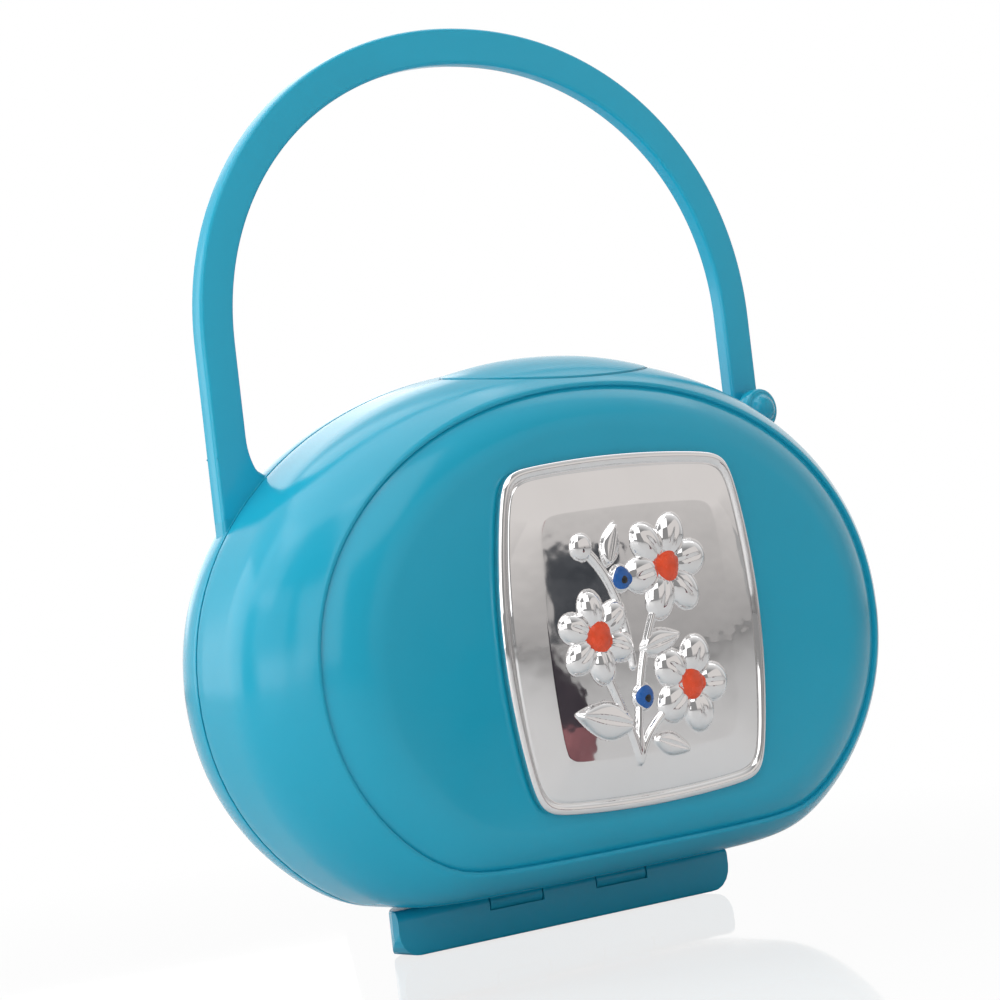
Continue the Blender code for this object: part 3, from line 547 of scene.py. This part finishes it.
def rear_lining_rings(inset):
    rings = []
    start = math.asin((LINING_START - PARTING) / (REAR_DEPTH - inset))
    end = QUARTER * REAR_BACK
    for step in range(LINING_STEPS + 1):
        angle = start + (end - start) * step / LINING_STEPS
        y = PARTING + (REAR_DEPTH - inset) * math.sin(angle)
        half_width = (BODY_HALF_WIDTH - inset) * math.cos(angle)
        rings.append(oval(y, half_width, (BODY_HALF_HEIGHT - inset) * math.cos(angle), BODY_FLOOR_Z + inset))
    return rings


def build_linings(material):
    """The smooth inner walls of both halves."""
    shown, hidden = FRONT_WALL + FRONT_LINING, FRONT_WALL - SKIN_THICKNESS
    lining = add_piece("front_lining", loft(front_lining_rings(shown)[::-1] + front_lining_rings(hidden)), material,
                       "cover")
    cut(lining, pad_window(LATCH_ROOM), "latch_room")
    shown, hidden = REAR_WALL + REAR_LINING, REAR_WALL - SKIN_THICKNESS
    add_piece("rear_lining", loft(rear_lining_rings(shown)[::-1] + rear_lining_rings(hidden)), material,
              "shell")


def build_pad(material):
    """The oval button's visible cap: a soft dome with a rounded edge."""
    angles = [math.tau * step / PAD_STEPS for step in range(PAD_STEPS)]

    def ring(inset, drop, share=1.0):
        points = []
        for angle in angles:
            x, y = pad_point(angle, share, -inset)
            rise = PAD_EDGE_RISE + SKIN + PAD_DOME * (1.0 - share ** 2)
            points.append((x, y, shoulder_top(x, y) + rise - drop))
        return points

    rings = [ring(0.0, PAD_SKIRT)]
    for step in range(6):
        angle = QUARTER * step / 5
        rings.append(ring(PAD_ROUND * (1.0 - math.cos(angle)), PAD_ROUND * (1.0 - math.sin(angle))))
    for step in range(1, PAD_RINGS):
        rings.append(ring(PAD_ROUND, 0.0, 1.0 - step / PAD_RINGS))
    add_piece("pad_cap", loft(rings), material, "latch")


def flat_piece(name, outline, low, high, edge, material, body):
    """A plate over an (x, z) outline with rounded edges, made from a filled curve."""
    curve = bpy.data.curves.new(name, "CURVE")
    curve.dimensions = "2D"
    curve.fill_mode = "BOTH"
    curve.extrude = (high - low) / 2.0 - edge
    curve.bevel_depth = edge
    curve.bevel_resolution = 5
    curve.offset = -edge
    spline = curve.splines.new("POLY")
    spline.points.add(len(outline) - 1)
    for point, (x, z) in zip(spline.points, outline):
        point.co = (x, z, 0.0, 1.0)
    spline.use_cyclic_u = True
    flat = bpy.data.objects.new(name, curve)
    bpy.context.scene.collection.objects.link(flat)
    mesh = bpy.data.meshes.new_from_object(flat.evaluated_get(bpy.context.evaluated_depsgraph_get()))
    bpy.data.objects.remove(flat)
    mesh.transform(Matrix.Translation((0.0, (low + high) / 2.0, 0.0)) @ Matrix.Rotation(math.pi / 2.0, 4, "X"))
    bm = bmesh.new()
    bm.from_mesh(mesh)
    bpy.data.meshes.remove(mesh)
    bmesh.ops.remove_doubles(bm, verts=bm.verts, dist=WELD)
    return add_piece(name, bm, material, body)


def arch_point(angle, offset):
    """A point of the strap's outline, offset outwards from its middle line."""
    def centre(a):
        x = ARCH_HALF_WIDTH * signed_power(math.cos(a), 2.0 / ARCH_POWER)
        return Vector((x, ARCH_BASE_Z + ARCH_HEIGHT * abs(math.sin(a)) ** (2.0 / ARCH_POWER)))
    step = math.radians(0.5)
    run = centre(min(angle + step, math.pi)) - centre(max(angle - step, 0.0))
    return centre(angle) + Vector((run.y, -run.x)).normalized() * offset


def line(start, end, steps):
    """Points after start, up to end."""
    start, end = Vector(start), Vector(end)
    return [tuple(start.lerp(end, step / steps)) for step in range(1, steps + 1)]


def strap_outline():
    """From the eye at the right over the arch, down the left leg to its flared root, and back."""
    left, right = -ARCH_HALF_WIDTH - STRAP_HALF, -ARCH_HALF_WIDTH + STRAP_HALF
    neck = math.degrees(math.acos(STRAP_HALF / EYE_RADIUS))
    points = []
    for step in range(EYE_STEPS + 1):
        angle = math.radians(180.0 - neck + (180.0 + 2.0 * neck) * step / EYE_STEPS)
        points.append((ARCH_HALF_WIDTH + EYE_RADIUS * math.cos(angle), STUD_Z + EYE_RADIUS * math.sin(angle)))
    points += line(points[-1], arch_point(0.0, STRAP_HALF), LEG_STEPS // 2)
    angles = [math.pi * step / ARCH_STEPS for step in range(1, ARCH_STEPS + 1)]
    points += [tuple(arch_point(angle, STRAP_HALF)) for angle in angles]
    points += line(points[-1], (left, ROOT_Z), LEG_STEPS)
    points += line(points[-1], (FILLET_LOW.x, ROOT_Z), 3)
    points += line(points[-1], FILLET_LOW, 3)
    for step in range(1, FILLET_STEPS + 1):
        angle = QUARTER * step / FILLET_STEPS
        x = right + (FILLET_LOW.x - right) * (1.0 - math.sin(angle))
        points.append((x, FILLET_LOW.y + (FILLET_TOP_Z - FILLET_LOW.y) * (1.0 - math.cos(angle))))
    points += line(points[-1], arch_point(math.pi, -STRAP_HALF), LEG_STEPS)
    points += [tuple(arch_point(angle, -STRAP_HALF)) for angle in reversed(angles[:-1])]
    points += [tuple(arch_point(0.0, -STRAP_HALF))]
    points += line(points[-1], points[0], LEG_STEPS // 2)[:-1]
    return points


def build_strap(material):
    strap = flat_piece("strap", strap_outline(), STRAP_FRONT, STRAP_BACK, STRAP_EDGE, material, None)
    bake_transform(strap)
    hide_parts("handle_strap")


def build_stud(material):
    """The press stud's turned front: shoulder, disc and dome."""
    bm = bmesh.new()
    verts = [bm.verts.new((radius * MM, -front * MM, 0.0)) for radius, front in STUD_PROFILE]
    for first, second in zip(verts, verts[1:]):
        bm.edges.new((first, second))
    bmesh.ops.spin(bm, geom=bm.verts[:] + bm.edges[:], cent=(0.0, 0.0, 0.0), axis=(0.0, 1.0, 0.0),
                   angle=math.tau, steps=STUD_SIDES)
    bmesh.ops.remove_doubles(bm, verts=bm.verts, dist=WELD)
    bmesh.ops.holes_fill(bm, edges=[edge for edge in bm.edges if len(edge.link_faces) == 1])
    bmesh.ops.translate(bm, verts=bm.verts, vec=(ARCH_HALF_WIDTH, 0.0, STUD_Z))
    add_piece("stud_cap", bm, material, "shell", angle=50.0)


class Plaque:
    """The pressed foil's shape, placed by the CAD node that it stands for."""

    def __init__(self):
        low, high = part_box("plaque_foil")
        self.half_width = (high.x - low.x) / 2.0
        self.half_height = (high.z - low.z) / 2.0
        self.centre = Vector(((low.x + high.x) / 2.0, high.y, (low.z + high.z) / 2.0))
        self.back_y = high.y

    def place(self, u, v):
        """Where a point of the square from -1 to 1 lies in the face, from its centre."""
        reach = max(abs(u), abs(v))
        if reach == 0.0:
            return 0.0, 0.0
        share = norm(u / reach, v / reach, PLAQUE_POWER)
        u, v = u / share, v / share
        x = self.half_width * u * (1.0 - PLAQUE_SIDE_BULGE * v * v)
        return x, self.half_height * v * (1.0 - PLAQUE_TOP_BULGE * u * u)

    def height(self, u, v, x, z):
        """How far the foil's face stands off the cover."""
        depth = (1.0 - max(abs(u), abs(v))) * self.half_width
        if depth < BEAD_WIDTH:
            return PLAQUE_RIM + BEAD_RISE * math.sin(math.pi * max(depth, 0.0) / BEAD_WIDTH)
        past = depth - BEAD_WIDTH
        if past < GROOVE_WIDTH:
            return PLAQUE_RIM - GROOVE_DEPTH * math.sin(math.pi * past / GROOVE_WIDTH)
        hip = (past - GROOVE_WIDTH) / HIP_WIDTH
        return self.field(x, z) - HIP_RISE * (1.0 - min(hip, 1.0)) ** HIP_POWER

    def field(self, x, z):
        crown = CROWN_RISE * max(1.0 - norm(x / self.half_width, z / self.half_height, 2.0) ** 2, 0.0)
        return PLAQUE_RIM + HIP_RISE + crown + relief(x / MM, z / MM) * MM


def dome(distance, radius, rise, power=0.5):
    """A pressed dome: steep at its edge, round at its top."""
    if distance >= radius:
        return 0.0
    return rise * (1.0 - (distance / radius) ** 2) ** power


def petal(x, z, flower):
    """The flower's nearest petal, with a shallow groove along its middle."""
    (cx, cz), reach, count, first = flower
    x, z = x - cx, z - cz
    distance = math.hypot(x, z)
    if distance > reach:
        return 0.0
    turn = math.tau / count
    angle = (math.atan2(z, x) - math.radians(first) + turn / 2.0) % turn - turn / 2.0
    along = (distance * math.cos(angle) - reach * 0.58) / (reach * 0.42)
    across = distance * math.sin(angle) / (reach * math.sin(turn / 2.0) * 0.66)
    share = 1.0 - along ** 2 - across ** 2
    if share <= 0.0:
        return 0.0
    groove = 0.16 * max(1.0 - abs(across) / 0.22, 0.0) * smooth_step((0.7 - along) / 0.6)
    return PETAL_RISE * share ** PETAL_POWER * (1.0 - groove)


def leaf(x, z, shape):
    (ax, az), (bx, bz), half_width, rise = shape
    length = math.hypot(bx - ax, bz - az)
    dx, dz = (bx - ax) / length, (bz - az) / length
    along = ((x - ax) * dx + (z - az) * dz) / length
    if not 0.0 < along < 1.0:
        return 0.0
    across = abs((z - az) * dx - (x - ax) * dz) / (half_width * math.sin(math.pi * along ** 0.85))
    if across >= 1.0:
        return 0.0
    vein = 0.25 * max(1.0 - across / 0.25, 0.0)
    return rise * (1.0 - across ** 2) ** 0.6 * (1.0 - vein) * smooth_step(math.sin(math.pi * along) * 2.5)


def stem_points(stem):
    points = []
    for step in range(STEM_STEPS + 1):
        t = step / STEM_STEPS
        weights = ((1 - t) ** 3, 3 * t * (1 - t) ** 2, 3 * t * t * (1 - t), t ** 3)
        points.append((sum(w * p[0] for w, p in zip(weights, stem)), sum(w * p[1] for w, p in zip(weights, stem))))
    return points


STEM_LINES = tuple(stem_points(stem) for stem in STEMS)


def stem_rise(x, z):
    """The nearest stem's round ridge."""
    nearest = STEM_RADIUS
    for points in STEM_LINES:
        for (ax, az), (bx, bz) in zip(points, points[1:]):
            if abs(ax - x) < 2.0 and abs(az - z) < 2.0:
                dx, dz = bx - ax, bz - az
                along = min(max(((x - ax) * dx + (z - az) * dz) / (dx * dx + dz * dz), 0.0), 1.0)
                nearest = min(nearest, math.hypot(x - ax - along * dx, z - az - along * dz))
    return dome(nearest, STEM_RADIUS, STEM_RISE)


def relief(x, z):
    """How far the pressed flowers stand off the plaque's field here, in millimetres."""
    if abs(x) > 18.0 or abs(z) > 19.5:
        return 0.0
    rises = [stem_rise(x, z)]
    rises += [petal(x, z, flower) for flower in FLOWERS]
    rises += [dome(math.hypot(x - f[0][0], z - f[0][1]), BUTTON_RADIUS, BUTTON_RISE, 0.4) for f in FLOWERS]
    rises += [leaf(x, z, shape) for shape in LEAVES]
    rises += [dome(math.hypot(x - bx, z - bz), BERRY_RADIUS, BERRY_RISE, 0.45) for bx, bz in BUDS + BERRIES]
    return max(rises)


def build_plaque(material):
    plaque = Plaque()
    steps = GRID_STEPS
    bm = bmesh.new()
    grid = []
    for i in range(-steps, steps + 1):
        row = []
        for j in range(-steps, steps + 1):
            u, v = i / steps, j / steps
            x, z = plaque.place(u, v)
            y = plaque.back_y - plaque.height(u, v, x, z)
            row.append(bm.verts.new((plaque.centre.x + x, y, plaque.centre.z + z)))
        grid.append(row)
    for first, second in zip(grid, grid[1:]):
        for a, b, c, d in zip(first, first[1:], second[1:], second):
            bm.faces.new((a, b, c, d))
    border = [edge for edge in bm.edges if len(edge.link_faces) == 1]
    skirt = bmesh.ops.extrude_edge_only(bm, edges=border)["geom"]
    for vert in (item for item in skirt if isinstance(item, bmesh.types.BMVert)):
        vert.co.y = plaque.back_y
    bmesh.ops.recalc_face_normals(bm, faces=bm.faces)
    if sum(face.normal.y * face.calc_area() for face in bm.faces) > 0.0:
        bmesh.ops.reverse_faces(bm, faces=bm.faces)
    mesh = bpy.data.meshes.new("plaque_plate")
    bm.to_mesh(mesh)
    bm.free()
    mesh.shade_smooth()
    plate = bpy.data.objects.new("plaque_plate", mesh)
    bpy.context.scene.collection.objects.link(plate)
    dress(plate, material)
    foil = plate.modifiers.new("foil", "SOLIDIFY")
    foil.thickness = FOIL_THICKNESS
    foil.offset = -1.0
    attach(plate, "cover")
    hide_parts("plaque_foil")


def build_enamel(name, centre, radius, material, rise=ENAMEL_RISE, wave=0.06):
    """A spot of enamel that follows the foil below it, a little uneven at its edge."""
    plaque = Plaque()

    def ring(share, lift):
        points = []
        for step in range(ENAMEL_STEPS):
            angle = math.tau * step / ENAMEL_STEPS
            reach = radius * share * (1.0 + wave * math.sin(3.0 * angle + centre[0]) * share)
            x, z = (centre[0] + reach * math.cos(angle)) * MM, (centre[1] + reach * math.sin(angle)) * MM
            y = plaque.back_y - plaque.field(x, z) - lift * MM
            points.append((plaque.centre.x + x, y, plaque.centre.z + z))
        return points

    rings = [ring(0.05, -0.05), ring(0.6, -0.05), ring(1.0, -0.05)]
    for step in range(ENAMEL_RINGS + 1):
        share = 1.0 - 0.95 * step / ENAMEL_RINGS
        rings.append(ring(share, rise * (1.0 - share ** 4) + 0.01))
    add_piece(name, loft(rings), material, "cover")


def build_enamels():
    orange = enamel("orange_enamel", ENAMEL_ORANGE)
    blue = enamel("blue_enamel", ENAMEL_BLUE)
    black = enamel("black_enamel", ENAMEL_BLACK)
    for number, flower in enumerate(FLOWERS):
        build_enamel(f"flower_enamel_{number}", flower[0], BUTTON_RADIUS * 0.92, orange)
    for number, berry in enumerate(BERRIES):
        build_enamel(f"berry_enamel_{number}", berry, BERRY_RADIUS * 0.86, blue)
        seed = (berry[0] + 0.1, berry[1] - 0.25)
        build_enamel(f"berry_seed_{number}", seed, BERRY_RADIUS * 0.36, black, ENAMEL_RISE + 0.08)


def add_camera():
    azimuth, elevation, roll = (math.radians(a) for a in (CAMERA_AZIMUTH, CAMERA_ELEVATION, CAMERA_ROLL))
    forward = Vector((math.sin(azimuth) * math.cos(elevation), math.cos(azimuth) * math.cos(elevation),
                      -math.sin(elevation)))
    right = Vector((math.cos(azimuth), -math.sin(azimuth), 0.0))
    up = right.cross(forward)
    across = right * math.cos(roll) + up * math.sin(roll)
    along = up * math.cos(roll) - right * math.sin(roll)
    data = bpy.data.cameras.new("camera")
    data.lens = CAMERA_LENS
    data.sensor_width = SENSOR_WIDTH
    data.clip_start = 0.01
    data.clip_end = 20.0
    camera = bpy.data.objects.new("camera", data)
    bpy.context.scene.collection.objects.link(camera)
    turn = Matrix((across, along, -forward)).transposed()
    camera.matrix_world = Matrix.Translation(CAMERA_TARGET - forward * CAMERA_DISTANCE) @ turn.to_4x4()
    bpy.context.scene.camera = camera


def add_world():
    """White to the camera; to the object, a pale room whose bright side shows in its gloss."""
    world = bpy.data.worlds.new("studio")
    world.use_nodes = True
    tree = world.node_tree
    room = tree.nodes["Background"]
    direction = tree.nodes.new("ShaderNodeTexCoord").outputs["Generated"]
    split = tree.nodes.new("ShaderNodeSeparateXYZ")
    tree.links.new(direction, split.inputs["Vector"])
    tone = blend_colours(tree, remap(tree, split.outputs["Z"], 0.0, 1.0, -0.3, 0.6), GROUND, SKY)
    tree.links.new(tone, room.inputs["Color"])
    lean = tree.nodes.new("ShaderNodeVectorMath")
    lean.operation = "DOT_PRODUCT"
    lean.inputs[1].default_value = GLARE_FROM
    tree.links.new(direction, lean.inputs[0])
    gloss = tree.nodes.new("ShaderNodeBackground")
    tone = blend_colours(tree, remap(tree, lean.outputs["Value"], 0.0, 1.0, -0.15, 0.65), GLARE_LOW, GLARE_HIGH)
    tree.links.new(tone, gloss.inputs["Color"])
    path = tree.nodes.new("ShaderNodeLightPath")
    lit = mix_shaders(tree, path.outputs["Is Glossy Ray"], room.outputs["Background"],
                      gloss.outputs["Background"])
    backdrop = tree.nodes.new("ShaderNodeBackground")
    backdrop.inputs["Color"].default_value = (*WHITE, 1.0)
    seen = mix_shaders(tree, path.outputs["Is Camera Ray"], lit, backdrop.outputs["Background"])
    tree.links.new(seen, tree.nodes["World Output"].inputs["Surface"])
    bpy.context.scene.world = world


def add_softbox(name, place, width, height, power):
    data = bpy.data.lights.new(name, "AREA")
    data.shape = "RECTANGLE"
    data.size = width
    data.size_y = height
    data.energy = power
    light = bpy.data.objects.new(name, data)
    light.location = place
    light.rotation_euler = (Vector(SOFTBOX_AIM) - Vector(place)).to_track_quat("-Z", "Y").to_euler()
    bpy.context.scene.collection.objects.link(light)


def add_card(name, corners, tone, other, span=None):
    """A board of the studio that only mirrors see: it shows in the silver and in grazing gloss.

    Its two tones are mottled, or blend upwards between two heights.
    """
    mesh = bpy.data.meshes.new(name)
    mesh.from_pydata([tuple(corner) for corner in corners], [], [tuple(range(len(corners)))])
    card = bpy.data.objects.new(name, mesh)
    bpy.context.scene.collection.objects.link(card)
    card.visible_camera = card.visible_diffuse = card.visible_shadow = False
    material, tree, shader = node_tree(name)
    tree.nodes.remove(shader)
    glow = tree.nodes.new("ShaderNodeEmission")
    if span:
        split = tree.nodes.new("ShaderNodeSeparateXYZ")
        tree.links.new(texture_space(tree), split.inputs["Vector"])
        share = remap(tree, split.outputs["Z"], 0.0, 1.0, *span)
    else:
        share = remap(tree, noise(tree, CARD_MOTTLE, 3.0, texture_space(tree)), 0.0, 1.0)
    tree.links.new(blend_colours(tree, share, tone, other), glow.inputs["Color"])
    tree.links.new(glow.outputs["Emission"], tree.nodes["Material Output"].inputs["Surface"])
    dress(card, material)


def facing_card(name, middle, width, height, tone, other, span):
    """An upright board that faces the object."""
    middle = Vector(middle)
    across = Vector((-middle.y, middle.x, 0.0)).normalized() * width / 2.0
    rise = Vector((0.0, 0.0, height / 2.0))
    corners = (middle - across - rise, middle + across - rise, middle + across + rise, middle - across + rise)
    add_card(name, corners, tone, other, span)


def add_cards():
    facing_card("front_board", (0.60, -0.85, 0.30), 1.3, 0.9, (0.40, 0.39, 0.385), (0.77, 0.74, 0.72), (0.0, 0.16))
    for name, corners, tone, other in MOTTLED_CARDS:
        add_card(name, [Vector(corner) * MM for corner in corners], tone, other)


def add_floor():
    """Clear to the camera, so it shows the white room, with a faint mirror image round the foot.

    To the object it is a white sheet, and from below it is clear, so that the open cover is lit.
    """
    bpy.ops.mesh.primitive_plane_add(size=2.0 * FLOOR_HALF, location=(0.0, 0.0, -0.2 * MM),
                                     rotation=(0.0, 0.0, -math.radians(CAMERA_AZIMUTH)))
    floor = bpy.context.object
    floor.name = "floor"
    material, tree, shader = node_tree("floor")
    shader.inputs["Base Color"].default_value = (0.80, 0.80, 0.80, 1.0)
    shader.inputs["Roughness"].default_value = 0.5
    clear = tree.nodes.new("ShaderNodeBsdfTransparent")
    mirror = tree.nodes.new("ShaderNodeBsdfGlossy")
    mirror.inputs["Roughness"].default_value = 0.04
    reach = tree.nodes.new("ShaderNodeVectorMath")
    reach.operation = "LENGTH"
    tree.links.new(texture_space(tree), reach.inputs[0])
    fade = remap(tree, reach.outputs["Value"], FLOOR_MIRROR, 0.0, MIRROR_NEAR, MIRROR_FAR)
    sheen = mix_shaders(tree, fade, clear.outputs["BSDF"], mirror.outputs["BSDF"])
    camera_ray = tree.nodes.new("ShaderNodeLightPath").outputs["Is Camera Ray"]
    above = mix_shaders(tree, camera_ray, shader.outputs["BSDF"], sheen)
    from_below = tree.nodes.new("ShaderNodeNewGeometry").outputs["Backfacing"]
    surface = mix_shaders(tree, from_below, above, clear.outputs["BSDF"])
    tree.links.new(surface, tree.nodes["Material Output"].inputs["Surface"])
    dress(floor, material)


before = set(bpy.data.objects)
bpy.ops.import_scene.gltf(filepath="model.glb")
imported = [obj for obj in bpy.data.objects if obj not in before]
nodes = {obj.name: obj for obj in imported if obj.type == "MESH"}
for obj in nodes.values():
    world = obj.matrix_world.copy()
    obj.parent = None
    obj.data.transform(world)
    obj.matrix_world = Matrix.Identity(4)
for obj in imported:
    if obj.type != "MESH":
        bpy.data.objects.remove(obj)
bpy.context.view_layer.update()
bpy.context.scene.view_settings.view_transform = "Standard"
shell_look = moulded_plastic("shell_plastic", TURQUOISE)
for name in ("front_cover", "rear_shell", "handle_strap", "handle_stud", "latch_pad", "foot_base"):
    nodes[name].data.shade_smooth()
    nodes[name].data.set_sharp_from_angle(angle=math.radians(NODE_SHARP_ANGLE))
    normals = nodes[name].modifiers.new("normals", "WEIGHTED_NORMAL")
    normals.keep_sharp = True
    dress(nodes[name], shell_look)
dress(nodes["hinge_pin"], drawn_steel())
dress(nodes["plaque_backing"], cast_resin())
build_front(shell_look)
build_rear(shell_look)
build_linings(shell_look)
build_pad(shell_look)
# A lighter copy of the shell plastic for the strap: painted light for the glow through the thin strap, not a
# different dye
build_strap(moulded_plastic("strap_plastic_painted_lighter", shade(TURQUOISE, STRAP_PAINTED_LIGHT)))
build_stud(shell_look)
build_plaque(silver_foil())
build_enamels()
add_camera()
add_world()
for softbox in SOFTBOXES:
    add_softbox(*softbox)
add_cards()
add_floor()
